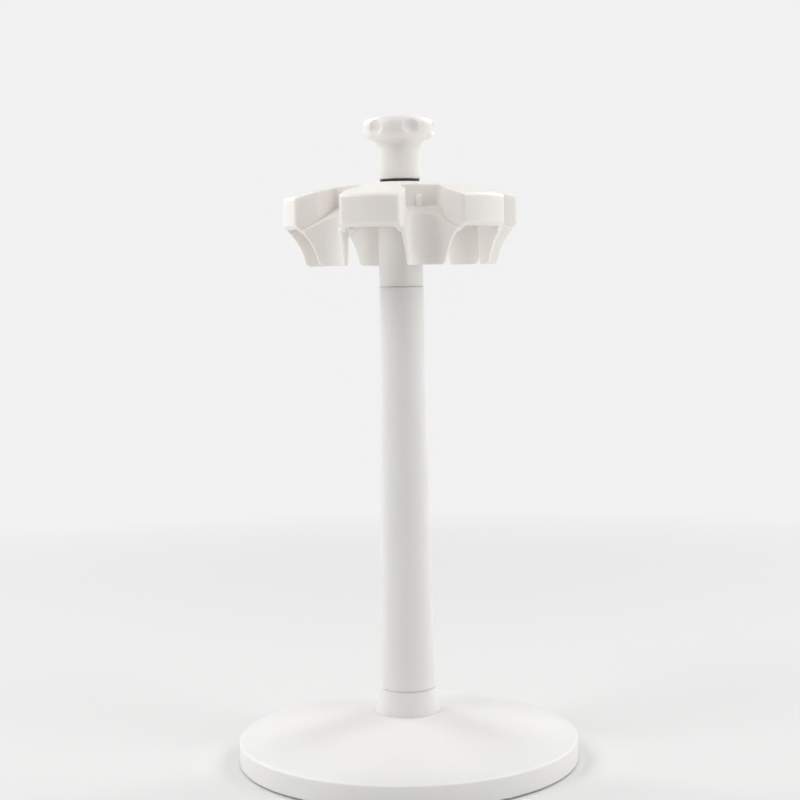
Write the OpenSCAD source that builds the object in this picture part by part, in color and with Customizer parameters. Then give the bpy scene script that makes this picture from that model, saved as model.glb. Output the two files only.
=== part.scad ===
// Pipette carousel stand: a weighted round base, a tapered column and a six-place
// carousel that turns on a spindle, held down by a screwed knob.
// The Z axis is the column's axis, and the stand rests on the plane z = 0.
// Angles round the column count from the front, which faces -Y, towards +X.

/* [Base] */
// Diameter of the base cover
base_d = 180; // [150:1:220]
// Height of the cover's edge, up to the start of its rounded rim
side_h = 12; // [9:0.5:18]
// Rise of the dome from the rim to the foot of the neck
dome_rise = 9.7; // [7:0.1:13]
// Radius of the rounded rim
rim_r = 3; // [1:0.5:4]
// Wall of the base cover
cover_wall = 2.6; // [2:0.1:4]
// Diameter of the neck where it leaves the dome
neck_foot_d = 34.4; // [33:0.2:44]
// Diameter of the neck under the column
neck_top_d = 29.2; // [27.6:0.2:32]
// Height of the neck above the dome
neck_h = 13; // [11:0.5:22]
// Thickness of the steel ballast disc
ballast_h = 6; // [4:0.5:7]
// Thickness of the plate that closes the underside
plate_h = 2.4; // [2:0.1:3]
// Number of base screws
base_screw_count = 4; // [3:1:6]
// Distance of the base screws from the axis
base_screw_ring = 60; // [45:1:62]
// Number of rubber pads
pad_count = 4; // [3:1:6]
// Diameter of a rubber pad
pad_d = 16; // [10:1:20]
// How far the pads stand out under the cover's edge
pad_proud = 1; // [0.5:0.1:2]

/* [Column] */
// Visible length of the tapered tube
column_len = 212.3; // [140:0.1:300]
// Outer diameter of the tube at its foot
column_foot_d = 29.5; // [28:0.1:32]
// Outer diameter of the tube at its top
column_top_d = 23.2; // [22:0.1:26]
// Wall of the tube
column_wall = 2.1; // [1.6:0.1:2.4]
// Depth of the plug under the tube that sits in the neck
plug_h = 6; // [4:0.5:7]
// Height of the boss for the brass insert inside the tube
boss_h = 22; // [16:1:30]

/* [Bearing] */
// Visible length of the bearing housing above the tube
housing_len = 32; // [26:0.5:40]
// Outer diameter of the housing
housing_d = 23; // [21:0.1:24]
// Length of the housing's spigot inside the tube
spigot_h = 22; // [18:1:30]
// Diameter of the spindle and of the column bolt
spindle_d = 8; // [6:0.5:9]
// Length of one bush
bush_h = 12; // [8:0.5:14]
// Wall of a bush
bush_wall = 2; // [1.5:0.1:2.5]
// Thickness of the thrust washer
thrust_h = 0.8; // [0.5:0.1:1.5]

/* [Carousel] */
// Distance of the arms' end faces from the axis
arm_reach = 59.1; // [54:0.1:66]
// Width of an arm
arm_w = 30.8; // [27:0.1:32]
// Wall of the moulding
shell = 2.3; // [1.8:0.1:2.8]
// Wall thickness at the feet of the webs
foot_shell = 1.2; // [0.9:0.1:2]
// Height of the hub, from its underside to the crown
crown_h = 21.7; // [17:0.1:26]
// Radius of the domed top
crown_r = 209; // [150:1:300]
// Height of the arms' end faces below the crown
face_drop = 22.7; // [20:0.1:26]
// Height of the cradle walls below the hub's underside
cradle_drop = 21.8; // [14:0.1:26]
// Distance of the cradle walls' outer feet from the axis
cradle_foot = 47.2; // [45:0.1:50]
// Radius of the concave cut under an arm
cove_r = 33.3; // [28:0.1:60]
// Distance of a slot's back wall from the axis
slot_back = 36; // [34:0.5:39]
// Width of a slot between two arms
slot_w = 20.9; // [17:0.1:22]
// Height of the ledge's inner edge above the hub's underside
ledge_h = 7.9; // [5:0.1:11]
// Fall of the ledge, in degrees
ledge_fall = 30; // [20:1:35]
// Width of the ledge along the arms' sides
ledge_step = 1.5; // [0.8:0.1:2]
// Distance of a cradle's centre line from the axis
cradle_ring = 53.2; // [51:0.1:56]

/* [Knob] */
// Diameter of the knob's head
knob_d = 37; // [34:0.5:44]
// Height of the knob's head
head_h = 11.3; // [9:0.1:14]
// Diameter of the knob's neck
knob_neck_d = 21.8; // [19:0.1:24]
// Height of the knob, from the foot of its neck to the edge of its top
knob_h = 31.7; // [28:0.1:40]
// Number of finger scoops
scoop_count = 6; // [3:1:8]
// Radius of a finger scoop
scoop_r = 8; // [6:0.5:10]
// Depth of a finger scoop
scoop_depth = 1.9; // [0.8:0.1:2.4]
// Thickness of the rubber ring
ring_t = 1.8; // [1.2:0.1:2.4]

/* [Hidden] */
$fn = 96;
eps = 0.01;
big = 400;

// Running clearance, fitting clearance, and the groove that shows at a joint
run_gap = 0.05;
seat_gap = 0.3;
seam = 0.4;

// Places on the carousel, and their turn from the front
places = 6;
pitch_angle = 360 / places;
half_angle = pitch_angle / 2;
pocket_turn = 15;
arm_turn = pocket_turn + half_angle;

// Base cover
cover_z = pad_proud;
base_r = base_d / 2;
rim_z = cover_z + side_h + rim_r;
rim_centre_r = base_r - rim_r;
neck_foot_r = neck_foot_d / 2;
neck_top_r = neck_top_d / 2;
dome_foot_z = rim_z + dome_rise;
dome_r = (pow(rim_centre_r, 2) - pow(neck_foot_r, 2)) / (2 * dome_rise);
dome_centre_z = dome_foot_z - sqrt(pow(dome_r, 2) - pow(neck_foot_r, 2));
rim_centre_z = dome_centre_z + sqrt(pow(dome_r - rim_r, 2) - pow(rim_centre_r, 2));
rim_touch_r = rim_centre_r * dome_r / (dome_r - rim_r);
joint_z = dome_foot_z + neck_h;
plug_r = 11;
neck_floor_h = 4;
neck_floor_z = joint_z - plug_h - neck_floor_h;
neck_root = 4;
well_r = 9.5;
well_wall = 2.5;
cover_rib_t = 2;
cover_rib_count = 8;

// Plate, ballast, screws and pads
plate_z = cover_z + seat_gap;
plate_r = base_r - cover_wall - seat_gap;
ballast_z = plate_z + plate_h;
ballast_top = ballast_z + ballast_h;
ballast_r = base_r - cover_wall - 5;
screw_boss_r = 4.2;
screw_turn = 45;
screw_r = 1.8;
screw_head_r = 3.6;
screw_head_h = 1.2;
screw_bite = 6;
pad_r = pad_d / 2;
pad_ring = plate_r - pad_r - 4;
pad_recess = 0.8;
pad_edge = 0.5;

// Column, its insert and its bolt
column_foot_r = column_foot_d / 2;
column_top_r = column_top_d / 2;
column_top_z = joint_z + column_len;
column_floor_h = 4;
plug_z = joint_z - plug_h;
spindle_r = spindle_d / 2;
bore_r = spindle_r + run_gap;
insert_wall = 2;
insert_r = bore_r + insert_wall;
insert_h = 14;
insert_groove = 0.6;
boss_wall = 2.4;
boss_r = insert_r + boss_wall;
gusset_count = 6;
gusset_t = 2;
bolt_hole_r = spindle_r + seat_gap;
bolt_head_af = 13;
bolt_head_h = 5.3;
washer_r = 8;
washer_h = 1.6;
spring_r = 6.6;
spring_h = 2;
spring_slit = 0.8;

// Bearing
housing_r = housing_d / 2;
housing_top_z = column_top_z + housing_len;
spigot_r = column_top_r - column_wall - run_gap;
spigot_z = column_top_z - spigot_h;
bush_r = bore_r + bush_wall;
flange_r = bush_r + 1.6;
flange_h = 1;
clear_r = spindle_r + 1;
thrust_r = housing_r - 0.8;
clip_h = 0.9;
clip_z = spigot_z - flange_h - run_gap - clip_h;
clip_r = spindle_r + 3;
clip_mouth = 5;
groove_r = spindle_r - 0.8;
spindle_foot = 3;
spindle_z = clip_z - spindle_foot;
spindle_chamfer = 0.8;
drive_af = 13;
drive_h = 3;

// Carousel, measured from the underside of its hub
hub_z = housing_top_z + thrust_h + run_gap;
arm_hw = arm_w / 2;
web_off = arm_hw + ledge_step;
slot_hw = slot_w / 2;
slot_corner_r = 2;
face_corner_r = 1.6;
face_top_r = 2.2;
face_z = crown_h - face_drop;
crown_centre = crown_h - crown_r;
edge_lift = 0.03;
face_ring_r = sqrt(pow(crown_r - face_top_r, 2) - pow(arm_reach - face_top_r, 2));
face_touch_x = arm_reach - face_top_r;
cradle_r = cradle_ring * sin(half_angle) - web_off + edge_lift;
web_lean = (shell - foot_shell) / cradle_drop;
ledge_slope = tan(ledge_fall);
ledge_under = shell / cos(ledge_fall);
hub_r = 12;
hub_flat_r = knob_neck_d / 2 + 0.6;
hub_flat_z = crown_centre + sqrt(pow(crown_r, 2) - pow(hub_flat_r, 2));
hub_rib_z = 9;
hub_rib_t = 2;
nib_r = 1.8;
nib_h = 4;
web_foot_r = 3.2;
cut_hw = web_off + 1;
face_sweep = 2 * asin(cut_hw / face_ring_r);

// Centre of the concave cut, from its two ends and its radius
cove_mid = [(arm_reach + cradle_foot) / 2, (face_z - cradle_drop) / 2];
cove_run = [arm_reach - cradle_foot, face_z + cradle_drop];
cove_bow = sqrt(pow(cove_r / norm(cove_run), 2) - 0.25);
cove_centre = cove_mid + cove_bow * [cove_run.y, -cove_run.x];
web_foot_z = web_foot_r - cradle_drop - edge_lift;
web_foot_gap = cove_r + web_foot_r - edge_lift;
web_foot_reach = sqrt(pow(web_foot_gap, 2) - pow(web_foot_z - cove_centre.y, 2));
web_foot_centre = [cove_centre.x - web_foot_reach, web_foot_z];
web_foot_touch = cove_centre + (web_foot_centre - cove_centre) * cove_r / (cove_r + web_foot_r);

// Rubber ring, between the hub and the knob
ring_sink = 0.4;
ring_centre_r = knob_neck_d / 2 - 0.6 - ring_t / 2;
ring_z = hub_z + hub_flat_z + run_gap + ring_t / 2;

// Knob, measured from the foot of its neck
knob_z = ring_z + ring_t / 2 - ring_sink;
neck_r = knob_neck_d / 2;
neck_edge = 0.5;
head_r = knob_d / 2;
head_edge_r = 4.4;
head_z = knob_h - head_h;
head_bulge = 0.9;
head_flat_r = head_r - head_edge_r;
bulge_r = (pow(head_flat_r, 2) + pow(head_bulge, 2)) / (2 * head_bulge);
flare_r = 4.5;
scoop_turn = 18.5;
flare_dx = neck_r + flare_r - head_flat_r;
head_corner = [head_flat_r, head_z + head_edge_r];
flare_centre = head_corner + [flare_dx, -sqrt(pow(head_edge_r + flare_r, 2) - pow(flare_dx, 2))];
flare_touch = head_corner + (flare_centre - head_corner) * head_edge_r / (head_edge_r + flare_r);
insert_foot = 5;
thread_len = 10;
spindle_top_z = knob_z + insert_foot + thread_len;

// Turns children so that their +X points to an angle counted from the front
module facing(angle) {
  rotate([0, 0, angle - 90]) children();
}

// Repeats children round the axis
module around(count, first = 0) {
  for (i = [0 : count - 1]) facing(first + i * 360 / count) children();
}

module tube(outer, inner, h) {
  difference() {
    cylinder(r = outer, h = h);
    translate([0, 0, -1]) cylinder(r = inner, h = h + 2);
  }
}

module hex(across_flats, h) {
  cylinder(r = across_flats / 2 / cos(30), h = h, $fn = 6);
}

// A rectangle from x0 to x1 with its outer two corners rounded
module round_ended(x0, x1, half_width, r) {
  translate([x0, -half_width]) square([x1 - x0 - r, 2 * half_width]);
  translate([x0, r - half_width]) square([x1 - x0, 2 * (half_width - r)]);
  for (s = [-1, 1]) translate([x1 - r, s * (half_width - r)]) circle(r = r);
}

// ---- Base ----

module cover_outline() {
  intersection() {
    translate([0, dome_centre_z]) circle(r = dome_r);
    translate([0, cover_z]) square([rim_touch_r, big]);
  }
  translate([0, cover_z]) square([base_r, rim_centre_z - cover_z]);
  translate([rim_centre_r, rim_centre_z]) circle(r = rim_r);
}

module cover_hollow() {
  intersection() {
    translate([0, dome_centre_z]) circle(r = dome_r - cover_wall);
    translate([0, cover_z - 1]) square([base_r - cover_wall, big]);
  }
}

module cover_neck() {
  translate([0, 0, dome_foot_z])
    cylinder(r1 = neck_foot_r, r2 = neck_top_r, h = neck_h - seam);
  translate([0, 0, joint_z - seam])
    cylinder(r1 = neck_top_r, r2 = neck_top_r - seam, h = seam);
  translate([0, 0, dome_foot_z - neck_root]) cylinder(r = neck_foot_r, h = neck_root + eps);
}

// Ribs, screw bosses and the wall of the bolt's well, up to the underside of the dome
module cover_inside() {
  intersection() {
    union() {
      around(cover_rib_count, pocket_turn) translate([0, -cover_rib_t / 2, ballast_top])
        cube([base_r - 1, cover_rib_t, big]);
      around(base_screw_count, screw_turn) translate([base_screw_ring, 0, ballast_top])
        cylinder(r = screw_boss_r, h = big);
      translate([0, 0, ballast_z]) cylinder(r = well_r + well_wall, h = big);
    }
    rotate_extrude() intersection() {
      cover_outline();
      square([base_r - eps, dome_foot_z]);
    }
  }
}

module base_cover() {
  color("white") difference() {
    union() {
      difference() {
        rotate_extrude() cover_outline();
        rotate_extrude() cover_hollow();
      }
      cover_neck();
      cover_inside();
    }
    translate([0, 0, cover_z - 1]) cylinder(r = well_r, h = neck_floor_z - cover_z + 1);
    translate([0, 0, neck_floor_z - 1]) cylinder(r = bolt_hole_r, h = big);
    translate([0, 0, plug_z]) cylinder(r = plug_r + run_gap, h = plug_h + 1);
    around(base_screw_count, screw_turn) translate([base_screw_ring, 0, ballast_top - 1])
      cylinder(r = screw_r + run_gap, h = screw_bite + 2);
  }
}

module ballast_disc() {
  color("dimgray") difference() {
    translate([0, 0, ballast_z]) cylinder(r = ballast_r, h = ballast_h);
    translate([0, 0, ballast_z - 1]) cylinder(r = well_r + well_wall + seat_gap, h = ballast_h + 2);
    around(base_screw_count, screw_turn) translate([base_screw_ring, 0, ballast_z - 1])
      cylinder(r = screw_r + seat_gap, h = ballast_h + 2);
  }
}

module base_plate() {
  color("gainsboro") difference() {
    translate([0, 0, plate_z]) cylinder(r = plate_r, h = plate_h);
    around(base_screw_count, screw_turn) translate([base_screw_ring, 0, plate_z - 1]) {
      cylinder(r = screw_r + seat_gap, h = plate_h + 2);
      cylinder(r = screw_head_r + seat_gap, h = screw_head_h + 1);
    }
    around(pad_count) translate([pad_ring, 0, plate_z - 1]) cylinder(r = pad_r, h = pad_recess + 1);
  }
}

module base_screws() {
  color("silver") around(base_screw_count, screw_turn) translate([base_screw_ring, 0, plate_z])
    difference() {
      union() {
        cylinder(r = screw_head_r, h = screw_head_h);
        cylinder(r = screw_r, h = plate_h + ballast_h + screw_bite);
      }
      translate([0, 0, -1]) hex(screw_head_r, screw_head_h / 2 + 1);
    }
}

module foot_pads() {
  color("dimgray") around(pad_count) translate([pad_ring, 0, 0]) {
    cylinder(r1 = pad_r - pad_edge, r2 = pad_r, h = pad_edge);
    translate([0, 0, pad_edge]) cylinder(r = pad_r, h = plate_z + pad_recess - pad_edge);
  }
}

// ---- Column ----

module column_outline() {
  translate([0, 0, joint_z]) cylinder(r1 = column_foot_r - seam, r2 = column_foot_r, h = seam);
  translate([0, 0, joint_z + seam])
    cylinder(r1 = column_foot_r, r2 = column_top_r, h = column_len - 2 * seam);
  translate([0, 0, column_top_z - seam])
    cylinder(r1 = column_top_r, r2 = column_top_r - seam, h = seam);
}

module column_hollow() {
  translate([0, 0, joint_z])
    cylinder(r1 = column_foot_r - column_wall, r2 = column_top_r - column_wall, h = column_len);
  translate([0, 0, column_top_z - eps]) cylinder(r = column_top_r - column_wall, h = 1);
}

// Floor, boss and gussets that hold the brass insert
module column_inside() {
  translate([0, 0, plug_z]) cylinder(r = plug_r, h = plug_h + eps);
  translate([0, 0, joint_z]) cylinder(r = column_foot_r - column_wall, h = column_floor_h);
  translate([0, 0, joint_z]) cylinder(r = boss_r, h = boss_h);
  around(gusset_count) translate([boss_r - 1, -gusset_t / 2, joint_z])
    cube([column_top_r - boss_r, gusset_t, boss_h - 4]);
}

module column_tube() {
  color("white") difference() {
    union() {
      difference() {
        column_outline();
        column_hollow();
      }
      column_inside();
    }
    translate([0, 0, plug_z - 1]) cylinder(r = insert_r, h = insert_h + 1);
    translate([0, 0, plug_z]) cylinder(r = bolt_hole_r, h = big);
  }
}

// Brass threaded insert with two grooves that the moulding grips
module brass_insert(h) {
  difference() {
    tube(insert_r, bore_r, h);
    for (i = [1, 3]) translate([0, 0, h * i / 5])
      tube(insert_r + 1, insert_r - insert_groove, h / 5);
  }
}

module column_insert() {
  color("goldenrod") translate([0, 0, plug_z]) brass_insert(insert_h);
}

module column_bolt() {
  color("silver") translate([0, 0, neck_floor_z - washer_h - spring_h]) {
    cylinder(r = spindle_r, h = washer_h + spring_h + neck_floor_h + insert_h);
    translate([0, 0, -bolt_head_h]) intersection() {
      hex(bolt_head_af, bolt_head_h);
      cylinder(r1 = bolt_head_af / 2 - seam, r2 = bolt_head_af, h = bolt_head_h);
    }
  }
}

module bolt_washer() {
  color("silver") translate([0, 0, neck_floor_z - washer_h]) tube(washer_r, bolt_hole_r, washer_h);
}

module spring_washer() {
  color("silver") translate([0, 0, neck_floor_z - washer_h - spring_h]) difference() {
    tube(spring_r, bolt_hole_r, spring_h);
    rotate([30, 0, 0]) translate([spindle_r - 1, -spring_slit / 2, -spring_h])
      cube([spring_r, spring_slit, 3 * spring_h]);
  }
}

// ---- Bearing ----

module bearing_housing() {
  color("white") difference() {
    union() {
      translate([0, 0, spigot_z]) cylinder(r = spigot_r, h = spigot_h + eps);
      translate([0, 0, column_top_z]) cylinder(r1 = housing_r - seam, r2 = housing_r, h = seam);
      translate([0, 0, column_top_z + seam]) cylinder(r = housing_r, h = housing_len - 2 * seam);
      translate([0, 0, housing_top_z - seam])
        cylinder(r1 = housing_r, r2 = housing_r - seam, h = seam);
    }
    translate([0, 0, spigot_z - 1]) cylinder(r = clear_r, h = big);
    translate([0, 0, spigot_z - 1]) cylinder(r = bush_r, h = bush_h - flange_h + 1);
    translate([0, 0, housing_top_z - bush_h]) cylinder(r = bush_r, h = bush_h + 1);
    translate([0, 0, housing_top_z - flange_h]) cylinder(r = flange_r + run_gap, h = flange_h + 1);
  }
}

// Flanged bush, with its flange at z = 0 and its sleeve above it
module bush() {
  difference() {
    union() {
      cylinder(r = flange_r, h = flange_h);
      cylinder(r = bush_r, h = bush_h);
    }
    translate([0, 0, -1]) cylinder(r = bore_r, h = bush_h + 2);
  }
}

module lower_bush() {
  color("wheat") translate([0, 0, spigot_z - flange_h]) bush();
}

module upper_bush() {
  color("wheat") translate([0, 0, housing_top_z]) mirror([0, 0, 1]) bush();
}

module thrust_washer() {
  color("dimgray") translate([0, 0, housing_top_z]) tube(thrust_r, bore_r, thrust_h);
}

module spindle() {
  color("silver") difference() {
    union() {
      translate([0, 0, spindle_z])
        cylinder(r1 = spindle_r - spindle_chamfer, r2 = spindle_r, h = spindle_chamfer);
      translate([0, 0, spindle_z + spindle_chamfer])
        cylinder(r = spindle_r, h = spindle_top_z - spindle_z - 2 * spindle_chamfer);
      translate([0, 0, spindle_top_z - spindle_chamfer])
        cylinder(r1 = spindle_r, r2 = spindle_r - spindle_chamfer, h = spindle_chamfer);
      translate([0, 0, hub_z]) hex(drive_af, drive_h);
    }
    translate([0, 0, clip_z - run_gap])
      tube(spindle_r + 1, groove_r, clip_h + 2 * run_gap);
  }
}

module retaining_clip() {
  color("silver") translate([0, 0, clip_z]) difference() {
    tube(clip_r, groove_r, clip_h);
    translate([0, -clip_mouth / 2, -1]) cube([big, clip_mouth, clip_h + 2]);
    around(3, half_angle) translate([spindle_r + 0.6, 0, -1]) cylinder(r = 1, h = clip_h + 2);
  }
}

// ---- Carousel ----

// Plan of the star above the ledges, drawn in by d
module star_plan(d) {
  difference() {
    union() {
      around(places, arm_turn) round_ended(0, arm_reach - d, arm_hw - d, face_corner_r);
      around(places, pocket_turn) translate([0, -slot_hw - d]) square([slot_back - d, slot_w + 2 * d]);
    }
    around(places, pocket_turn) mirror([1, 0])
      round_ended(-arm_reach - 10, d - slot_back, slot_hw + d, slot_corner_r + d);
  }
}

// Plan below the ledges, with a round cradle between each two arms
module cradle_plan() {
  touch = cradle_ring * cos(half_angle);
  tip_x = touch * cos(half_angle) + web_off * sin(half_angle);
  tip_y = touch * sin(half_angle) - web_off * cos(half_angle);
  difference() {
    union() {
      around(places, arm_turn) translate([0, -web_off]) square([arm_reach, 2 * web_off]);
      around(places, pocket_turn) polygon([[0, 0], [tip_x, -tip_y], [tip_x, tip_y]]);
    }
    around(places, pocket_turn) translate([cradle_ring, 0]) circle(r = cradle_r);
  }
}

// One sector's share of the space under the ledges
module sector_under(drop) {
  reach = arm_reach + 10;
  top = ledge_h - drop + slot_back * ledge_slope;
  foot = -cradle_drop - 2;
  intersection() {
    rotate([90, 0, 0]) translate([0, 0, -reach])
      linear_extrude(2 * reach)
        polygon([[0, foot], [reach, foot], [reach, top - reach * ledge_slope], [0, top]]);
    translate([0, 0, foot]) linear_extrude(big)
      polygon([[0, 0], [reach, -reach * tan(half_angle)], [reach, reach * tan(half_angle)]]);
  }
}

// Space inside the webs and behind the cradles, which widens towards the webs' feet
module web_space() {
  foot = -cradle_drop - 1;
  inner = web_off - shell;
  low = inner - web_lean * foot;
  high = inner - web_lean * crown_h;
  behind = cradle_ring * pow(cos(half_angle), 2) + inner * sin(half_angle);
  side = behind * tan(half_angle) - inner / cos(half_angle) + 1;
  difference() {
    union() {
      around(places, arm_turn) rotate([90, 0, 90]) linear_extrude(arm_reach - shell)
        polygon([[-low, foot], [low, foot], [high, crown_h], [-high, crown_h]]);
      around(places, pocket_turn) translate([0, 0, foot]) linear_extrude(crown_h - foot)
        polygon([[0, 0], [behind, -side], [behind, side]]);
    }
    around(places, pocket_turn) translate([cradle_ring, 0, foot])
      cylinder(r1 = cradle_r + shell + web_lean * foot, r2 = cradle_r + shell + web_lean * crown_h,
               h = crown_h - foot);
  }
}

// The star as a solid: the plan above the ledges, and its children below them
module star_body(d, foot, ledge_drop) {
  intersection() {
    union() {
      translate([0, 0, foot]) linear_extrude(big) star_plan(d);
      intersection() {
        children();
        around(places, pocket_turn) sector_under(ledge_drop);
      }
    }
    rotate_extrude() intersection() {
      translate([0, crown_centre]) circle(r = crown_r - d);
      translate([0, foot]) square([arm_reach + 10, big]);
    }
  }
}

// Side view of what is cut away under an arm: the cove and the rounded foot
module cove_outline() {
  foot = -cradle_drop;
  translate(cove_centre) circle(r = cove_r);
  difference() {
    polygon([[web_foot_centre.x, foot - 1], [web_foot_centre.x, foot], web_foot_touch,
             [arm_reach, web_foot_touch.y], [arm_reach, foot - 1]]);
    translate(web_foot_centre) circle(r = web_foot_r);
  }
}

// What is taken off the top edge of an arm's end face: its rounding follows the crown
module face_top_cut() {
  translate([0, 0, crown_centre]) rotate([0, 90, 0]) rotate([0, 0, 180 - face_sweep / 2])
    rotate_extrude(angle = face_sweep) difference() {
      translate([face_ring_r, face_touch_x]) square([crown_h, arm_reach - face_touch_x + 1]);
      translate([face_ring_r + edge_lift, face_touch_x]) circle(r = face_top_r);
  }
}

// An outline in the side view of an arm, as a solid across the arm
module across_arm(half_width) {
  rotate([90, 0, 0]) translate([0, 0, -half_width]) linear_extrude(2 * half_width) children();
}

module arm_cuts() {
  across_arm(cut_hw) cove_outline();
  face_top_cut();
}

// Hub boss and the ribs that join it to the slots' back walls
module hub_inside() {
  cylinder(r = hub_r, h = crown_h - shell);
  around(places, pocket_turn) translate([0, -hub_rib_t / 2, hub_rib_z])
    cube([slot_back - shell / 2, hub_rib_t, crown_h - shell - hub_rib_z]);
}

// Round-topped rib on a slot's back wall
module nib() {
  base = ledge_h - ledge_slope * nib_r - 1;
  translate([slot_back, 0, base]) cylinder(r = nib_r, h = ledge_h + nib_h - base);
  translate([slot_back, 0, ledge_h + nib_h]) sphere(r = nib_r);
}

module carousel() {
  color("white") translate([0, 0, hub_z]) difference() {
    union() {
      difference() {
        star_body(0, -cradle_drop, 0) translate([0, 0, -cradle_drop])
          linear_extrude(big) cradle_plan();
        star_body(shell, -cradle_drop - 1, ledge_under) web_space();
      }
      intersection() {
        hub_inside();
        star_body(shell / 2, 0, ledge_under / 2) web_space();
      }
      around(places, pocket_turn) nib();
    }
    around(places, arm_turn) arm_cuts();
    translate([0, 0, hub_flat_z]) cylinder(r = hub_flat_r, h = crown_h);
    translate([0, 0, -1]) cylinder(r = bore_r, h = big);
    translate([0, 0, -1]) hex(drive_af + 2 * run_gap, drive_h + run_gap + 1);
  }
}

// ---- Knob ----

module rubber_ring() {
  color("black") rotate_extrude() translate([ring_centre_r, ring_z]) circle(r = ring_t / 2);
}

module knob_outline() {
  translate([0, neck_edge]) square([neck_r, flare_centre.y]);
  square([neck_r - neck_edge, 1]);
  translate([neck_r - neck_edge, neck_edge]) circle(r = neck_edge);
  difference() {
    polygon([[0, flare_centre.y], [neck_r, flare_centre.y], flare_touch, head_corner,
             [0, head_corner.y]]);
    translate(flare_centre) circle(r = flare_r);
  }
  translate([0, head_z]) square([head_flat_r, head_h]);
  translate([0, head_z + head_edge_r]) square([head_r, head_h - 2 * head_edge_r]);
  for (z = [head_z + head_edge_r, knob_h - head_edge_r])
    translate([head_flat_r, z]) circle(r = head_edge_r);
  intersection() {
    translate([0, knob_h + head_bulge - bulge_r]) circle(r = bulge_r);
    translate([0, knob_h - 1]) square([head_flat_r, head_bulge + 1]);
  }
}

module knob() {
  color("white") translate([0, 0, knob_z]) difference() {
    rotate_extrude() knob_outline();
    around(scoop_count, scoop_turn)
      translate([head_r + scoop_r - scoop_depth, 0, head_z + head_h / 2]) sphere(r = scoop_r);
    translate([0, 0, -1]) cylinder(r = insert_r, h = insert_foot + insert_h + 1);
    rotate_extrude() translate([ring_centre_r, ring_z - knob_z]) circle(r = ring_t / 2 + run_gap);
  }
}

module knob_insert() {
  color("goldenrod") translate([0, 0, knob_z + insert_foot]) brass_insert(insert_h);
}

base_cover();
ballast_disc();
base_plate();
base_screws();
foot_pads();
column_tube();
column_insert();
column_bolt();
bolt_washer();
spring_washer();
bearing_housing();
lower_bush();
upper_bush();
thrust_washer();
spindle();
retaining_clip();
carousel();
rubber_ring();
knob();
knob_insert();
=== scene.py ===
"""Looks of a pipette carousel stand: finishes, floor, backdrop, lamps and camera."""

import math

import bmesh
import bpy
from mathutils import Matrix, Vector


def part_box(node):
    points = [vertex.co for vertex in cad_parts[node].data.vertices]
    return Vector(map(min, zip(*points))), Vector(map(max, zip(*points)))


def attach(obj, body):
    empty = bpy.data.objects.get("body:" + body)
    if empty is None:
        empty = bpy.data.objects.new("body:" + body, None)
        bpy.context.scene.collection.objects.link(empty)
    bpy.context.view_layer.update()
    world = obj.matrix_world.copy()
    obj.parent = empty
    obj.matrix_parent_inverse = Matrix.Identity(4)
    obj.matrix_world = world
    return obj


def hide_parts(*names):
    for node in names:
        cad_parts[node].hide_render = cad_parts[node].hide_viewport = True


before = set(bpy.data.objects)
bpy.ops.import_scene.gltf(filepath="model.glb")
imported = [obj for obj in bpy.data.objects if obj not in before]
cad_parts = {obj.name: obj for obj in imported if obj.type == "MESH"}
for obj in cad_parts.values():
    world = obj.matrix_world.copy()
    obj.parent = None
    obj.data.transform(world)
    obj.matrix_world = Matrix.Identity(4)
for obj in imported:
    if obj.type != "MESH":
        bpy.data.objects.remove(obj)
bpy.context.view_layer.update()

# ---- Sizes and tones ----------------------------------------------------------

# Lengths are in metres, apart from the camera's lens and sensor. Colours are linear.

UP = (0, 0, 1)

CAROUSEL_WHITE = (0.880, 0.856, 0.832)
COLUMN_WHITE = (0.880, 0.860, 0.836)
BASE_WHITE = (0.880, 0.868, 0.850)
KNOB_WHITE = (0.882, 0.858, 0.834)
PLATE_WHITE = (0.74, 0.735, 0.72)
# Painted shade and dust: the grey-brown tone that sheltered corners of the plastic are darkened
# towards.
CORNER_SHADE_TONE = (0.42, 0.40, 0.37)
SPECK_TONE = (0.45, 0.41, 0.36)
STEEL = (0.60, 0.60, 0.61)
GROUND_STEEL = (0.66, 0.66, 0.67)
DARK_STEEL = (0.27, 0.27, 0.28)
METAL_HAZE = (0.33, 0.32, 0.31)
# Painted shade and grime: the near-black tone that sheltered corners of metal are darkened towards.
METAL_SHADE_AND_GRIME = (0.09, 0.08, 0.07)
BRASS = (0.74, 0.56, 0.26)
IRON = (0.17, 0.17, 0.175)
BARE_IRON = (0.42, 0.40, 0.38)
ACETAL = (0.80, 0.76, 0.64)
NYLON = (0.045, 0.042, 0.045)
PAD_RUBBER = (0.055, 0.054, 0.056)
RING_RUBBER = (0.012, 0.007, 0.010)
RUBBER_BLOOM = (0.16, 0.155, 0.15)

# Plastic: how far each colour of light goes into it, how deep that is, and its refraction.
SOAK_REACH = (1.0, 0.88, 0.80)
SOAK_DEPTH = 0.0025
PLASTIC_IOR = 1.5

# How much lighter a plastic edge is made, as a painted highlight, and how much lighter a rubbed metal
# edge and a casting's lumps are.
EDGE_HIGHLIGHT_LIFT = 1.05
BRIGHT_LIFT = 1.25
LUMP_LIFT = 1.3

# How much smoother a rubbed edge is, and how much duller a dusty corner.
EDGE_POLISH = 0.06
DUST_DULLING = 0.3

# Pattern scales, in repeats a metre.
DRIFT_SCALE = 22
SPECK_SCALE = 900
DUST_SCALE = 420
CLOUD_SCALE = 160
TOOL_LINE_SCALE = (60, 60, 9000)
LUMP_SCALE = 380
BLOOM_SCALE = 260
RUBBER_GRAIN_SCALE = 3200

# Heights of the bumps.
PLASTIC_BUMP = 0.000004
METAL_BUMP = 0.000004
IRON_BUMP = 0.00012
RUBBER_BUMP = 0.00001

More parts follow.
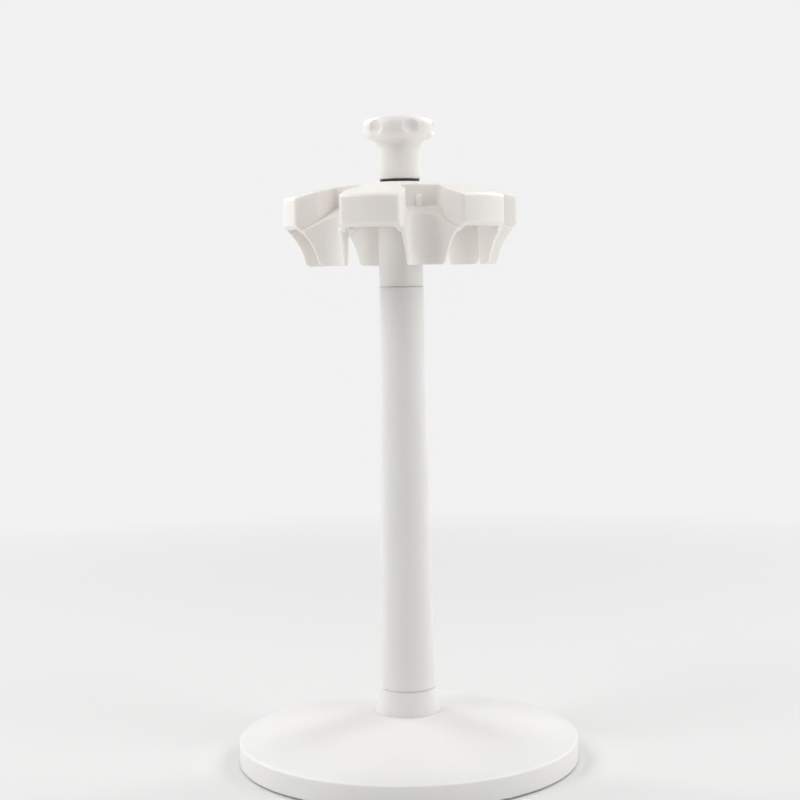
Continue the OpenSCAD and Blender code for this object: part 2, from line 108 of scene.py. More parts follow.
# Edges: how far a rounded normal has to turn to count as a full edge, and the radii that the
# casting and the rubber have everywhere.
PLASTIC_EDGE = 0.08
METAL_EDGE = 0.12
ROUGH_EDGE = 0.1
IRON_RADIUS = 0.0008
RUBBER_RADIUS = 0.0003

# Painted shade and grime in the corners of metal: how far out it reaches, and how strong it is.
METAL_SHADE_REACH = 0.0015
METAL_SHADE_AND_GRIME_AMOUNT = 0.6

# Rays sent out from each point to find edges and corners.
PROBE_SAMPLES = 6

# The layer in a copied mesh that keeps the normals of its corners.
KEPT = "kept_normal"

# Distances within which a cut takes a point as on its plane, and a weld takes two as one.
CUT_NEAR = 1e-7
WELD_NEAR = 1e-6

# Arms: how many there are, the step between them and the first one's place, in degrees round
# from the front towards the right. Then how far their flat ends are from the axis, half their
# width, their end wall, where the curve starts, and the cuts that let the ends follow it.
ARM_COUNT = 6
ARM_STEP = 60
FIRST_ARM = -15
ARM_TURNS = [math.radians(ARM_STEP * place + FIRST_ARM) for place in range(ARM_COUNT)]
ARM_REACH = 0.0591
ARM_HALF_WIDTH = 0.0154
END_WALL = 0.0023
BULGE_START = 0.044
BULGE_RINGS = (0.046, 0.048, 0.050, 0.052, 0.054, 0.0562)
BULGE_STRIPS = 18

# Base cover: its radius, the neck's radius, the top's height at the neck and at the corner, the
# height up to which the solid's side is upright, and the corner's radius. COVER_BEND is how much
# of the top's fall follows the distance squared. The rest follows the square of that.
COVER_REACH = 0.09
COVER_NECK = 0.0172
COVER_TOP = 0.0257
COVER_CORNER = 0.0122
COVER_SIDE_TOP = 0.013
COVER_BEND = 0.6
RIM_ROUND = 0.001

# The cover's lining goes down with its top: from this radius on, by this much at the rim, for
# points above this height.
LINING_START = 0.06
LINING_DROP = 0.0012
LINING_FOOT = 0.0125

# The height between the rows of points added to the cover's top, how far up a face has to point
# to belong to it, and the slack allowed in height and in distance from the axis.
SKIN_STEP = 0.00025
SKIN_LEAN = 0.02
NEAR = 2e-5

# Screw thread. THREAD_STEP is the height between its rows of points and THREAD_FADE the length
# over which it dies out at the tip. Points nearer the axis than THREAD_CORE stay where they
# are. THREAD_RUN_OUT is how far the thread goes on below the knob's insert.
THREAD_PITCH = 0.00125
THREAD_DEPTH = 0.00042
THREAD_STEP = 0.0002
THREAD_FADE = 0.0006
THREAD_CORE = 0.0034
THREAD_RUN_OUT = 0.0075

# Camera: its place, its tilt up from straight down, its roll, and its lens and sensor in
# millimetres.
CAMERA_PLACE = (-0.00171, -0.8756, 0.26036)
CAMERA_PITCH = math.radians(90 - 4.5)
CAMERA_ROLL = math.radians(-0.934)
CAMERA_LENS = 75.15
SENSOR = 36.0

# Lamps: the height they face, how far from there they are, and their size. Each has a name,
# degrees round from the front towards the right, degrees up, and watts.
LIT_HEIGHT = 0.2
SOFTBOX_DISTANCE = 1.1
SOFTBOX_SIZE = (0.5, 0.7)
SOFTBOXES = [
    ("left_low_softbox", -90, -6, 4.9),
    ("left_front_softbox", -60, 40, 3.85),
    ("left_rear_softbox", -130, 40, 4.3),
    ("front_low_softbox", 0, -6, 1.1),
    ("right_front_softbox", 60, 40, 3.2),
    ("right_front_low_softbox", 60, -6, 1.0),
    ("right_low_softbox", 90, -6, 3.8),
    ("right_rear_softbox", 125, 40, 4.4),
    ("top_softbox", 0, 85, 1.3),
]
ROOM_TONE = (1.0, 0.98, 0.96)
ROOM_LIGHT = 0.14

# Floor: it fades into the backdrop's tone between these two distances from its middle.
FLOOR_SIZE = 8.0
FLOOR_TONE = (0.852, 0.852, 0.85)
FLOOR_ROUGHNESS = 0.9
FLOOR_SHINE = 0.1
FADE_START = 0.14
FADE_END = 0.9
BACK_TONE = (0.885, 0.885, 0.885)


# ---- Node helpers -------------------------------------------------------------


def new_group(name, inputs, outputs):
    """A shader group with (name, kind, value) inputs and (name, kind) outputs."""
    tree = bpy.data.node_groups.new(name, "ShaderNodeTree")
    for label, kind, value in inputs:
        socket = tree.interface.new_socket(label, in_out="INPUT", socket_type=kind)
        socket.default_value = value
    for label, kind in outputs:
        tree.interface.new_socket(label, in_out="OUTPUT", socket_type=kind)
    return tree, tree.nodes.new("NodeGroupInput"), tree.nodes.new("NodeGroupOutput")


def plug(tree, socket, value):
    """Joins a socket to another socket, or sets its value."""
    if isinstance(value, bpy.types.NodeSocket):
        tree.links.new(value, socket)
    else:
        socket.default_value = value


def math_node(tree, kind, a, b=0.0, clamp=False):
    node = tree.nodes.new("ShaderNodeMath")
    node.operation = kind
    node.use_clamp = clamp
    plug(tree, node.inputs[0], a)
    plug(tree, node.inputs[1], b)
    return node.outputs[0]


def blend_colour(tree, factor, a, b, kind="MIX"):
    node = tree.nodes.new("ShaderNodeMix")
    node.data_type = "RGBA"
    node.blend_type = kind
    plug(tree, node.inputs["Factor"], factor)
    for label, value in (("A", a), ("B", b)):
        socket = next(s for s in node.inputs if s.name == label and s.type == "RGBA")
        plug(tree, socket, value if isinstance(value, bpy.types.NodeSocket) else (*value, 1))
    return next(s for s in node.outputs if s.type == "RGBA")


def spread(tree, value, low, high, to_low=0.0, to_high=1.0):
    """Maps low..high to to_low..to_high, clamped."""
    node = tree.nodes.new("ShaderNodeMapRange")
    for socket, number in zip(node.inputs, (value, low, high, to_low, to_high)):
        plug(tree, socket, number)
    return node.outputs[0]


def stretched(tree, scale=(1, 1, 1)):
    """Object coordinates, scaled along each axis to stretch or shrink a pattern."""
    place = tree.nodes.new("ShaderNodeTexCoord").outputs["Object"]
    mapping = tree.nodes.new("ShaderNodeMapping")
    mapping.inputs["Scale"].default_value = scale
    tree.links.new(place, mapping.inputs["Vector"])
    return mapping.outputs[0]


def noise(tree, place, scale, detail=2.0, rough=0.5):
    node = tree.nodes.new("ShaderNodeTexNoise")
    tree.links.new(place, node.inputs["Vector"])
    plug(tree, node.inputs["Scale"], scale)
    node.inputs["Detail"].default_value = detail
    node.inputs["Roughness"].default_value = rough
    return node.outputs["Fac"]


# ---- Shared effects -----------------------------------------------------------


def make_edge_rounding():
    """Normals that round an edge over, and a mask of where the edges are."""
    tree, given, made = new_group(
        "edge_rounding",
        [("Radius", "NodeSocketFloat", 0.0004), ("Width", "NodeSocketFloat", 0.06)],
        [("Normal", "NodeSocketVector"), ("Edge", "NodeSocketFloat")],
    )
    bevel = tree.nodes.new("ShaderNodeBevel")
    bevel.samples = PROBE_SAMPLES
    tree.links.new(given.outputs["Radius"], bevel.inputs["Radius"])
    flat = tree.nodes.new("ShaderNodeNewGeometry")
    along = tree.nodes.new("ShaderNodeVectorMath")
    along.operation = "DOT_PRODUCT"
    tree.links.new(bevel.outputs[0], along.inputs[0])
    tree.links.new(flat.outputs["Normal"], along.inputs[1])
    turned = math_node(tree, "SUBTRACT", 1.0, along.outputs["Value"], clamp=True)
    tree.links.new(bevel.outputs[0], made.inputs["Normal"])
    edge = math_node(tree, "DIVIDE", turned, given.outputs["Width"], clamp=True)
    tree.links.new(edge, made.inputs["Edge"])
    return tree


def make_corner_shade_and_dust():
    """A mask of sheltered corners, broken up by noise, for painted shade and dust."""
    tree, given, made = new_group(
        "corner_shade_and_dust",
        [("Reach", "NodeSocketFloat", 0.004), ("Amount", "NodeSocketFloat", 0.5)],
        [("Shade_and_dust", "NodeSocketFloat")],
    )
    # Painted shade: the less open a point is, the more it is darkened; noise breaks this up into
    # patches of dust.
    shelter = tree.nodes.new("ShaderNodeAmbientOcclusion")
    shelter.samples = PROBE_SAMPLES
    shelter.only_local = True
    tree.links.new(given.outputs["Reach"], shelter.inputs["Distance"])
    closed = spread(tree, shelter.outputs["AO"], 0.75, 0.2)
    patchy = spread(tree, noise(tree, stretched(tree), DUST_SCALE, 4), 0.3, 0.7, 0.5, 1)
    shade_and_dust = math_node(tree, "MULTIPLY", math_node(tree, "MULTIPLY", closed, patchy),
                     given.outputs["Amount"], clamp=True)
    tree.links.new(shade_and_dust, made.inputs["Shade_and_dust"])
    return tree


def make_moulded_skin():
    """The skin of a moulding: slow tonal drift, spark-eroded grain and a few specks."""
    tree, given, made = new_group(
        "moulded_skin",
        [("Colour", "NodeSocketColor", (0.8, 0.8, 0.8, 1)),
         ("Drift", "NodeSocketFloat", 0.02), ("Gloss", "NodeSocketFloat", 0.35),
         ("Grain size", "NodeSocketFloat", 0.0004)],
        [("Colour", "NodeSocketColor"), ("Roughness", "NodeSocketFloat"),
         ("Height", "NodeSocketFloat")],
    )
    place = stretched(tree)
    slow = noise(tree, place, DRIFT_SCALE, 3, 0.6)
    low = math_node(tree, "SUBTRACT", 1.0, given.outputs["Drift"])
    tone = spread(tree, slow, 0.3, 0.7, low, 1.0)
    grey = tree.nodes.new("ShaderNodeCombineColor")
    for socket in grey.inputs[:3]:
        tree.links.new(tone, socket)
    tinted = blend_colour(tree, 1.0, given.outputs["Colour"], grey.outputs[0], "MULTIPLY")
    specks = spread(tree, noise(tree, place, SPECK_SCALE, 1), 0.76, 0.80, 0.0, 0.12)
    tree.links.new(blend_colour(tree, specks, tinted, SPECK_TONE), made.inputs["Colour"])
    fine = noise(tree, place, math_node(tree, "DIVIDE", 1.0, given.outputs["Grain size"]), 2)
    wander = spread(tree, slow, 0.25, 0.75, -0.03, 0.04)
    sparkle = spread(tree, fine, 0.2, 0.8, -0.03, 0.03)
    rough = math_node(tree, "ADD", given.outputs["Gloss"], math_node(tree, "ADD", wander, sparkle))
    tree.links.new(rough, made.inputs["Roughness"])
    tree.links.new(fine, made.inputs["Height"])
    return tree


def make_turned_metal():
    """Fine tool lines round the vertical axis, with a little colour drift."""
    tree, given, made = new_group(
        "turned_metal",
        [("Colour", "NodeSocketColor", (0.6, 0.6, 0.6, 1)), ("Gloss", "NodeSocketFloat", 0.3)],
        [("Colour", "NodeSocketColor"), ("Roughness", "NodeSocketFloat"),
         ("Height", "NodeSocketFloat")],
    )
    lines = noise(tree, stretched(tree, TOOL_LINE_SCALE), 1.0, 2)
    clouds = noise(tree, stretched(tree), CLOUD_SCALE, 3)
    dull = spread(tree, clouds, 0.35, 0.7, 0.0, 0.35)
    tree.links.new(blend_colour(tree, dull, given.outputs["Colour"], METAL_HAZE),
                   made.inputs["Colour"])
    rough = math_node(tree, "ADD", given.outputs["Gloss"], spread(tree, lines, 0.2, 0.8, -0.08, 0.12))
    tree.links.new(rough, made.inputs["Roughness"])
    tree.links.new(lines, made.inputs["Height"])
    return tree


EDGE_ROUNDING = make_edge_rounding()
CORNER_SHADE_AND_DUST = make_corner_shade_and_dust()
MOULDED_SKIN = make_moulded_skin()
TURNED_METAL = make_turned_metal()


def place_group(tree, group, **values):
    """Puts a shared group in a material, with its own values by input name."""
    node = tree.nodes.new("ShaderNodeGroup")
    node.node_tree = group
    for label, value in values.items():
        socket = node.inputs[label.replace("_", " ")]
        socket.default_value = (*value, 1) if socket.type == "RGBA" else value
    return node


def new_material(name):
    material = bpy.data.materials.new(name)
    material.use_nodes = True
    tree = material.node_tree
    shader = next(n for n in tree.nodes if n.type == "BSDF_PRINCIPLED")
    return material, tree, shader


def finish_material(tree, shader, height, edges, depth):
    """Joins the bump, over the rounded normals, to the shader."""
    bump = tree.nodes.new("ShaderNodeBump")
    bump.inputs["Strength"].default_value = 1.0
    bump.inputs["Distance"].default_value = depth
    tree.links.new(height, bump.inputs["Height"])
    tree.links.new(edges.outputs["Normal"], bump.inputs["Normal"])
    tree.links.new(bump.outputs[0], shader.inputs["Normal"])


# ---- Materials ----------------------------------------------------------------


def moulded_plastic(name, colour, gloss, drift=0.02, grain=0.0004, depth=PLASTIC_BUMP,
                    radius=0.0004, shade_reach=0.004, shade_and_dust=0.5, shade_tone=CORNER_SHADE_TONE, edge_lift=0.35,
                    soak=0.0):
    """Injection-moulded plastic: rounded edges lightened as a painted highlight, fine grain, painted
    shade and dust in its corners.

    drift is its change of tone, edge_lift how much its edges are lightened as a painted highlight, soak
    how much light sinks in.
    """
    material, tree, shader = new_material(name)
    skin = place_group(tree, MOULDED_SKIN, Colour=colour, Drift=drift, Gloss=gloss, Grain_size=grain)
    edges = place_group(tree, EDGE_ROUNDING, Radius=radius, Width=PLASTIC_EDGE)
    corners = place_group(tree, CORNER_SHADE_AND_DUST, Reach=shade_reach, Amount=shade_and_dust)
    # Painted highlight: the edges are made lighter than the plastic, by up to the given share.
    edge_highlight_tone = tuple(min(1.0, c * EDGE_HIGHLIGHT_LIFT) for c in colour)
    edge_highlight = math_node(tree, "MULTIPLY", edges.outputs["Edge"], edge_lift)
    edge_highlighted = blend_colour(tree, edge_highlight, skin.outputs["Colour"], edge_highlight_tone)
    # Painted shade and dust: sheltered corners are darkened towards a grey-brown tone.
    corner_shaded = blend_colour(tree, corners.outputs["Shade_and_dust"], edge_highlighted, shade_tone)
    tree.links.new(corner_shaded, shader.inputs["Base Color"])
    rough = math_node(tree, "SUBTRACT", skin.outputs["Roughness"],
                      math_node(tree, "MULTIPLY", edges.outputs["Edge"], EDGE_POLISH))
    dull = math_node(tree, "ADD", rough,
                     math_node(tree, "MULTIPLY", corners.outputs["Shade_and_dust"], DUST_DULLING))
    tree.links.new(dull, shader.inputs["Roughness"])
    shader.inputs["IOR"].default_value = PLASTIC_IOR
    shader.inputs["Subsurface Weight"].default_value = soak
    shader.inputs["Subsurface Radius"].default_value = SOAK_REACH
    shader.inputs["Subsurface Scale"].default_value = SOAK_DEPTH
    finish_material(tree, shader, skin.outputs["Height"], edges, depth)
    return material


def machined_metal(name, colour, gloss, radius=0.00025):
    """Turned or rolled metal with bright edges, and painted shade and grime in its corners."""
    material, tree, shader = new_material(name)
    skin = place_group(tree, TURNED_METAL, Colour=colour, Gloss=gloss)
    edges = place_group(tree, EDGE_ROUNDING, Radius=radius, Width=METAL_EDGE)
    corners = place_group(tree, CORNER_SHADE_AND_DUST, Reach=METAL_SHADE_REACH, Amount=METAL_SHADE_AND_GRIME_AMOUNT)
    bright = tuple(min(1.0, c * BRIGHT_LIFT) for c in colour)
    edge_lift = blend_colour(tree, edges.outputs["Edge"], skin.outputs["Colour"], bright)
    # Painted shade and grime: sheltered corners are darkened towards a near-black tone.
    tree.links.new(blend_colour(tree, corners.outputs["Shade_and_dust"], edge_lift, METAL_SHADE_AND_GRIME),
                   shader.inputs["Base Color"])
    tree.links.new(skin.outputs["Roughness"], shader.inputs["Roughness"])
    shader.inputs["Metallic"].default_value = 1.0
    finish_material(tree, shader, skin.outputs["Height"], edges, METAL_BUMP)
    return material


def cast_metal(name, colour):
    """Sand-cast iron under a thin dark paint, worn through at its edges."""
    material, tree, shader = new_material(name)
    place = stretched(tree)
    edges = place_group(tree, EDGE_ROUNDING, Radius=IRON_RADIUS, Width=ROUGH_EDGE)
    lumps = noise(tree, place, LUMP_SCALE, 5, 0.65)
    chips = math_node(tree, "MULTIPLY", edges.outputs["Edge"], spread(tree, lumps, 0.45, 0.6))
    raised = tuple(c * LUMP_LIFT for c in colour)
    tone = blend_colour(tree, spread(tree, lumps, 0.35, 0.65), colour, raised)
    tree.links.new(blend_colour(tree, chips, tone, BARE_IRON), shader.inputs["Base Color"])
    tree.links.new(math_node(tree, "MULTIPLY", chips, 0.8), shader.inputs["Metallic"])
    tree.links.new(spread(tree, lumps, 0.3, 0.7, 0.5, 0.75), shader.inputs["Roughness"])
    finish_material(tree, shader, lumps, edges, IRON_BUMP)
    return material


def soft_rubber(name, colour, gloss):
    """Moulded rubber with a pale bloom and a fine grain."""
    material, tree, shader = new_material(name)
    place = stretched(tree)
    edges = place_group(tree, EDGE_ROUNDING, Radius=RUBBER_RADIUS, Width=ROUGH_EDGE)
    bloom = spread(tree, noise(tree, place, BLOOM_SCALE, 4, 0.6), 0.45, 0.75, 0.0, 0.25)
    tree.links.new(blend_colour(tree, bloom, colour, RUBBER_BLOOM), shader.inputs["Base Color"])
    fine = noise(tree, place, RUBBER_GRAIN_SCALE, 2)
    tree.links.new(spread(tree, fine, 0.2, 0.8, gloss - 0.06, gloss + 0.08),
                   shader.inputs["Roughness"])
    finish_material(tree, shader, fine, edges, RUBBER_BUMP)
    return material


PLAIN_STEEL = machined_metal("plain_steel", STEEL, 0.30)
FINISHES = {
    "base_cover": moulded_plastic("base_moulding", BASE_WHITE, 0.42, drift=0.018, grain=0.0005,
                                  depth=0.000005, radius=0.0005, shade_reach=0.003, shade_and_dust=0.35, soak=1.0),
    "column_tube": moulded_plastic("column_moulding", COLUMN_WHITE, 0.36, drift=0.015,
                                   radius=0.0003, shade_reach=0.002, shade_and_dust=0.35, soak=1.0),
    "bearing_housing": moulded_plastic("housing_moulding", COLUMN_WHITE, 0.36, drift=0.015,
                                       radius=0.0003, shade_reach=0.002, shade_and_dust=0.35, soak=1.0),
    "carousel": moulded_plastic("carousel_moulding", CAROUSEL_WHITE, 0.34, drift=0.012,
                                radius=0.0006, shade_reach=0.004, shade_and_dust=0.25, soak=1.0),
    "knob": moulded_plastic("knob_moulding", KNOB_WHITE, 0.32, drift=0.012, radius=0.0005,
                            shade_reach=0.002, shade_and_dust=0.3, soak=1.0),
    "base_plate": moulded_plastic("plate_moulding", PLATE_WHITE, 0.5, drift=0.04,
                                  grain=0.0009, depth=0.00002, shade_and_dust=0.7),
    "thrust_washer": moulded_plastic("nylon_washer", NYLON, 0.45, radius=0.0002, shade_and_dust=0.2),
    "lower_bush": moulded_plastic("acetal_bush", ACETAL, 0.38, radius=0.0002, shade_and_dust=0.4),
    "upper_bush": moulded_plastic("acetal_flange", ACETAL, 0.36, radius=0.0002, shade_and_dust=0.4),
    "ballast_disc": cast_metal("ballast_iron", IRON),
    "foot_pads": soft_rubber("pad_rubber", PAD_RUBBER, 0.7),
    "rubber_ring": soft_rubber("ring_rubber", RING_RUBBER, 0.38),
    "base_screws": machined_metal("screw_steel", STEEL, 0.34, radius=0.00015),
    "column_bolt": PLAIN_STEEL,
    "bolt_washer": PLAIN_STEEL,
    "spring_washer": machined_metal("spring_steel", DARK_STEEL, 0.38),
    "spindle": machined_metal("ground_steel", GROUND_STEEL, 0.22),
    "retaining_clip": machined_metal("clip_steel", DARK_STEEL, 0.36, radius=0.0001),
    "column_insert": machined_metal("insert_brass", BRASS, 0.30),
    "knob_insert": machined_metal("nut_brass", BRASS, 0.28),
}


def dress_nodes():
    """Gives every CAD node its finish."""
    for name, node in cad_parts.items():
        for slot in node.material_slots:
            slot.material = FINISHES[name]


# ---- Copies of CAD nodes ------------------------------------------------------


def open_copy(node, name):
    """A welded copy of a CAD node's mesh that keeps each corner's exact normal in a layer."""
    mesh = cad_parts[node].data.copy()
    mesh.name = name
    normals = [number for corner in mesh.corner_normals for number in corner.vector]
    mesh.attributes.new(KEPT, "FLOAT_VECTOR", "CORNER").data.foreach_set("vector", normals)
    work = bmesh.new()
    work.from_mesh(mesh)
    bmesh.ops.remove_doubles(work, verts=work.verts, dist=WELD_NEAR)
    return mesh, work, work.loops.layers.float_vector[KEPT]


def close_copy(mesh, work, node, body):
    """Makes the copy a piece that stands for its CAD node."""
    work.to_mesh(mesh)
    work.free()
    normals = [tuple(corner.vector) for corner in mesh.attributes[KEPT].data]
    mesh.normals_split_custom_set(normals)
    mesh.attributes.remove(mesh.attributes[KEPT])
    piece = bpy.data.objects.new(mesh.name, mesh)
    bpy.context.scene.collection.objects.link(piece)
    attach(piece, body)
    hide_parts(node)


def split(work, faces, point, normal):
    """Cuts some of a mesh's faces along a plane."""
    parts = {item for face in faces for item in (face, *face.edges, *face.verts)}
    bmesh.ops.bisect_plane(work, geom=list(parts), dist=CUT_NEAR, plane_co=point, plane_no=normal)


def from_axis(place):
    """Distance from the stand's upright axis."""
    return math.hypot(place.x, place.y)


# ---- Arm ends -----------------------------------------------------------------


def arm_axes(turn):
    """The direction an arm points in, and the direction across it."""
    return (Vector((math.sin(turn), -math.cos(turn), 0)),
            Vector((math.cos(turn), math.sin(turn), 0)))


def cut_across(work, out, side, point, normal):
    """Splits the faces of one arm's outer part along a plane."""
    near = [face for face in work.faces
            if any(v.co.dot(out) > BULGE_START and abs(v.co.dot(side)) <= ARM_HALF_WIDTH + END_WALL
                   for v in face.verts)]
    split(work, near, point, normal)


def bulge(reach, across):
    """How far a point of an arm moves out to bring its end to a circle about the hub, and how
    fast that grows along the arm and across it."""
    radius = math.hypot(ARM_REACH, ARM_HALF_WIDTH)
    depth = math.sqrt(radius**2 - across**2)
    span = ARM_REACH - END_WALL - BULGE_START
    part = min(1.0, (reach - BULGE_START) / span)
    share = part * part * (3 - 2 * part)
    proud = depth - ARM_REACH
    return proud * share, proud * 6 * part * (1 - part) / span, -across / depth * share


def curve_arm_end(work, kept, turn):
    """Moves one arm's end out to the circle, and turns its shading normals to suit."""
    out, side = arm_axes(turn)
    for ring in BULGE_RINGS:
        cut_across(work, out, side, out * ring, out)
    for strip in range(1, BULGE_STRIPS):
        across = ARM_HALF_WIDTH * (2 * strip / BULGE_STRIPS - 1)
        cut_across(work, out, side, side * across, side)
    for vert in work.verts:
        reach, across = vert.co.dot(out), vert.co.dot(side)
        if reach <= BULGE_START or abs(across) > ARM_HALF_WIDTH:
            continue
        move, along, sideways = bulge(reach, across)
        vert.co += out * move
        for corner in vert.link_loops:
            normal = corner[kept]
            lean = normal.dot(out) / (1 + along)
            corner[kept] = (normal - lean * (along * out + sideways * side)).normalized()


def add_carousel_moulding():
    """The carousel with arm ends that curve about the hub, in place of its flat-ended node."""
    mesh, work, kept = open_copy("carousel", "carousel_moulding")
    for turn in ARM_TURNS:
        curve_arm_end(work, kept, turn)
    close_copy(mesh, work, "carousel", "rotor")


# ---- Base rim -----------------------------------------------------------------


def cover_dome(reach):
    """Height of the base's top and its slope, at a distance from the axis."""
    span = COVER_REACH**2 - COVER_NECK**2
    share = (reach**2 - COVER_NECK**2) / span
    fall = COVER_TOP - COVER_CORNER
    height = COVER_TOP - fall * (COVER_BEND * share + (1 - COVER_BEND) * share**2)
    slope = fall * (COVER_BEND + 2 * (1 - COVER_BEND) * share) * 2 * reach / span
    return height, slope


def cover_skin(reach):
    """Height of the base's outside and its outward lean, with the rim's small round."""
    centre = COVER_REACH - RIM_ROUND
    slope = cover_dome(COVER_REACH)[1]
    touch = centre + RIM_ROUND * slope / math.hypot(1, slope)
    height, slope = cover_dome(min(reach, touch))
    if reach <= touch:
        return height, slope / math.hypot(1, slope)
    centre_height = height - RIM_ROUND / math.hypot(1, slope)
    lean = min(1.0, (reach - centre) / RIM_ROUND)
    return centre_height + RIM_ROUND * math.sqrt(1 - lean * lean), lean


def on_cover_top(face):
    """Whether a face belongs to the outside of the base's top or its rim round."""
    return face.normal.z > SKIN_LEAN and all(
        v.co.z > COVER_SIDE_TOP - NEAR and from_axis(v.co) > COVER_NECK - NEAR
        for v in face.verts)


def add_base_moulding():
    """The base cover with a crisp low rim, in place of its softer-edged node."""
    mesh, work, kept = open_copy("base_cover", "base_moulding")
    for step in range(1, round((COVER_TOP - COVER_SIDE_TOP) / SKIN_STEP)):
        height = COVER_SIDE_TOP + step * SKIN_STEP
        split(work, [face for face in work.faces if on_cover_top(face)], (0, 0, height), UP)
    skin = [face for face in work.faces if on_cover_top(face)]
    for face in skin:
        for corner in face.loops:
            place = corner.vert.co
            reach = from_axis(place)
            lean = cover_skin(reach)[1]
            corner[kept] = (lean * place.x / reach, lean * place.y / reach,
                            math.sqrt(1 - lean * lean))
    outside = {vert for face in skin for vert in face.verts}
    for vert in work.verts:
        reach = from_axis(vert.co)
        if vert in outside:
            vert.co.z = cover_skin(reach)[0]
        elif vert.co.z > LINING_FOOT and reach > LINING_START:
            share = (reach - LINING_START) / (COVER_REACH - LINING_START)
            vert.co.z -= LINING_DROP * share * (2 - share)
    close_copy(mesh, work, "base_cover", "stand")


# ---- Screw thread -------------------------------------------------------------


def thread_depth(place, foot, top):
    """How deep the thread's groove is at a point of the spindle's side."""
    turns = (place.z - foot) / THREAD_PITCH - math.atan2(place.y, place.x) / math.tau
    groove = 1 - abs(2 * (turns % 1) - 1)
    ends = min(1.0, (place.z - foot) / THREAD_PITCH, (top - place.z) / THREAD_FADE)
    return THREAD_DEPTH * groove * max(0.0, ends)


def add_threaded_spindle():
    """The spindle with its screw thread cut, in place of its plain node."""
    mesh, work, kept = open_copy("spindle", "threaded_spindle")
    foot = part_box("knob_insert")[0][2] - THREAD_RUN_OUT
    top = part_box("spindle")[1][2]
    for step in range(1, round((top - foot) / THREAD_STEP)):
        height = foot + step * THREAD_STEP
        near = [face for face in work.faces if any(v.co.z > foot - THREAD_STEP for v in face.verts)
                and min(v.co.z for v in face.verts) < height < max(v.co.z for v in face.verts)]
        split(work, near, (0, 0, height), UP)
    for vert in work.verts:
        around = from_axis(vert.co)
        if vert.co.z <= foot or around < THREAD_CORE:
            continue
        share = 1 - thread_depth(vert.co, foot, top) / around
        vert.co.x *= share
        vert.co.y *= share
        for corner in vert.link_loops:
            corner[kept] = (0, 0, 0)
    close_copy(mesh, work, "spindle", "rotor")


# ---- Floor, backdrop, lamps and camera ----------------------------------------


def seen_directly(tree):
    """1 for rays that see a surface from the camera, in gloss or through glass."""
    path = tree.nodes.new("ShaderNodeLightPath")
    some = math_node(tree, "MAXIMUM", path.outputs["Is Camera Ray"], path.outputs["Is Glossy Ray"])
    return math_node(tree, "MAXIMUM", some, path.outputs["Is Transmission Ray"])


def make_floor():
    """Pale floor that fades into the backdrop's tone away from the object."""
    half = FLOOR_SIZE / 2
    mesh = bpy.data.meshes.new("floor")
    corners = [(-half, -half, 0), (half, -half, 0), (half, half, 0), (-half, half, 0)]
    mesh.from_pydata(corners, [], [(0, 1, 2, 3)])
    floor = bpy.data.objects.new("floor", mesh)
    bpy.context.scene.collection.objects.link(floor)
    material, tree, shader = new_material("floor_paper")
    shader.inputs["Base Color"].default_value = (*FLOOR_TONE, 1)
    shader.inputs["Roughness"].default_value = FLOOR_ROUGHNESS
    shader.inputs["Specular IOR Level"].default_value = FLOOR_SHINE
    far = tree.nodes.new("ShaderNodeEmission")
    far.inputs["Color"].default_value = (*BACK_TONE, 1)
    place = tree.nodes.new("ShaderNodeTexCoord").outputs["Object"]
    length = tree.nodes.new("ShaderNodeVectorMath")
    length.operation = "LENGTH"
    tree.links.new(place, length.inputs[0])
    fade = spread(tree, length.outputs["Value"], FADE_START, FADE_END)
    only_seen = math_node(tree, "MULTIPLY", fade, seen_directly(tree))
    mix = tree.nodes.new("ShaderNodeMixShader")
    tree.links.new(only_seen, mix.inputs[0])
    tree.links.new(shader.outputs[0], mix.inputs[1])
    tree.links.new(far.outputs[0], mix.inputs[2])
    output = next(n for n in tree.nodes if n.type == "OUTPUT_MATERIAL")
    tree.links.new(mix.outputs[0], output.inputs["Surface"])
    mesh.materials.append(material)


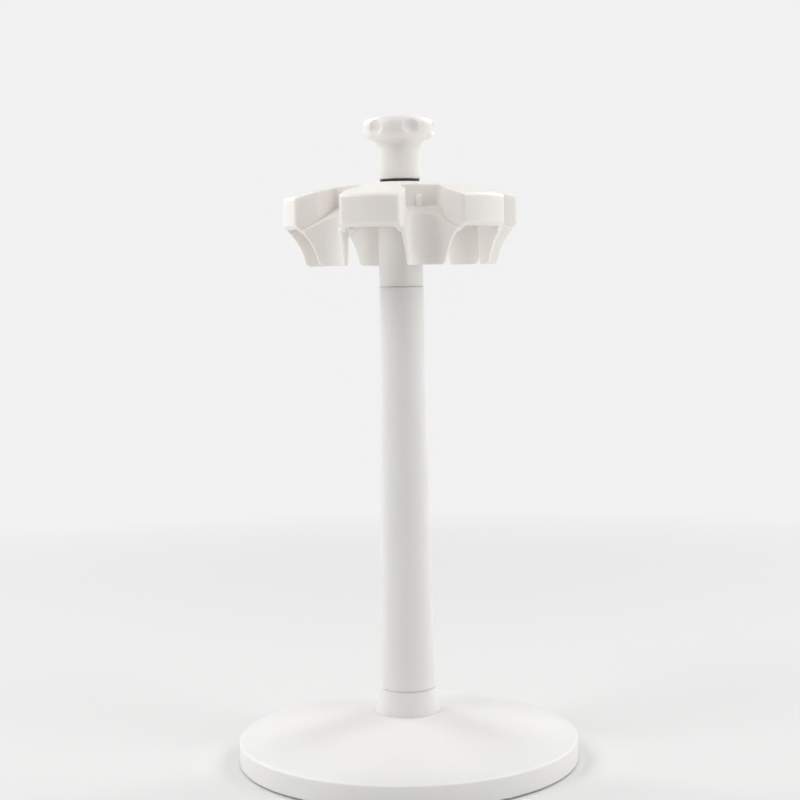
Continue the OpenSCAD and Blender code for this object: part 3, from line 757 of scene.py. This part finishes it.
def make_world():
    """Even room light, and the backdrop's tone where it is seen directly."""
    world = bpy.data.worlds.new("studio")
    bpy.context.scene.world = world
    world.use_nodes = True
    tree = world.node_tree
    output = next(n for n in tree.nodes if n.type == "OUTPUT_WORLD")
    room = tree.nodes.new("ShaderNodeBackground")
    room.inputs["Color"].default_value = (*ROOM_TONE, 1)
    room.inputs["Strength"].default_value = ROOM_LIGHT
    back = tree.nodes.new("ShaderNodeBackground")
    back.inputs["Color"].default_value = (*BACK_TONE, 1)
    mix = tree.nodes.new("ShaderNodeMixShader")
    tree.links.new(seen_directly(tree), mix.inputs[0])
    tree.links.new(room.outputs[0], mix.inputs[1])
    tree.links.new(back.outputs[0], mix.inputs[2])
    tree.links.new(mix.outputs[0], output.inputs["Surface"])


def add_softbox(name, azimuth, elevation, power):
    """A soft lamp that faces the object. A low one is kept out of reflections, where it glares."""
    lamp = bpy.data.lights.new(name, "AREA")
    lamp.shape = "RECTANGLE"
    lamp.size, lamp.size_y = SOFTBOX_SIZE
    lamp.energy = power
    box = bpy.data.objects.new(name, lamp)
    box.visible_glossy = elevation > 0
    turn, rise = math.radians(azimuth), math.radians(elevation)
    flat = SOFTBOX_DISTANCE * math.cos(rise)
    box.location = (flat * math.sin(turn), -flat * math.cos(turn),
                    LIT_HEIGHT + SOFTBOX_DISTANCE * math.sin(rise))
    way = Vector((0, 0, LIT_HEIGHT)) - box.location
    box.rotation_euler = way.to_track_quat("-Z", "Y").to_euler()
    bpy.context.scene.collection.objects.link(box)


def make_camera():
    """The camera, by its place, tilt and roll."""
    lens = bpy.data.cameras.new("camera")
    lens.sensor_width = SENSOR
    lens.lens = CAMERA_LENS
    camera = bpy.data.objects.new("camera", lens)
    turn = Matrix.Rotation(CAMERA_PITCH, 4, "X") @ Matrix.Rotation(CAMERA_ROLL, 4, "Z")
    camera.matrix_world = Matrix.Translation(CAMERA_PLACE) @ turn
    bpy.context.scene.collection.objects.link(camera)
    bpy.context.scene.camera = camera


dress_nodes()
add_base_moulding()
add_carousel_moulding()
add_threaded_spindle()
make_floor()
make_world()
for softbox in SOFTBOXES:
    add_softbox(*softbox)
make_camera()
bpy.context.scene.view_settings.view_transform = "Standard"
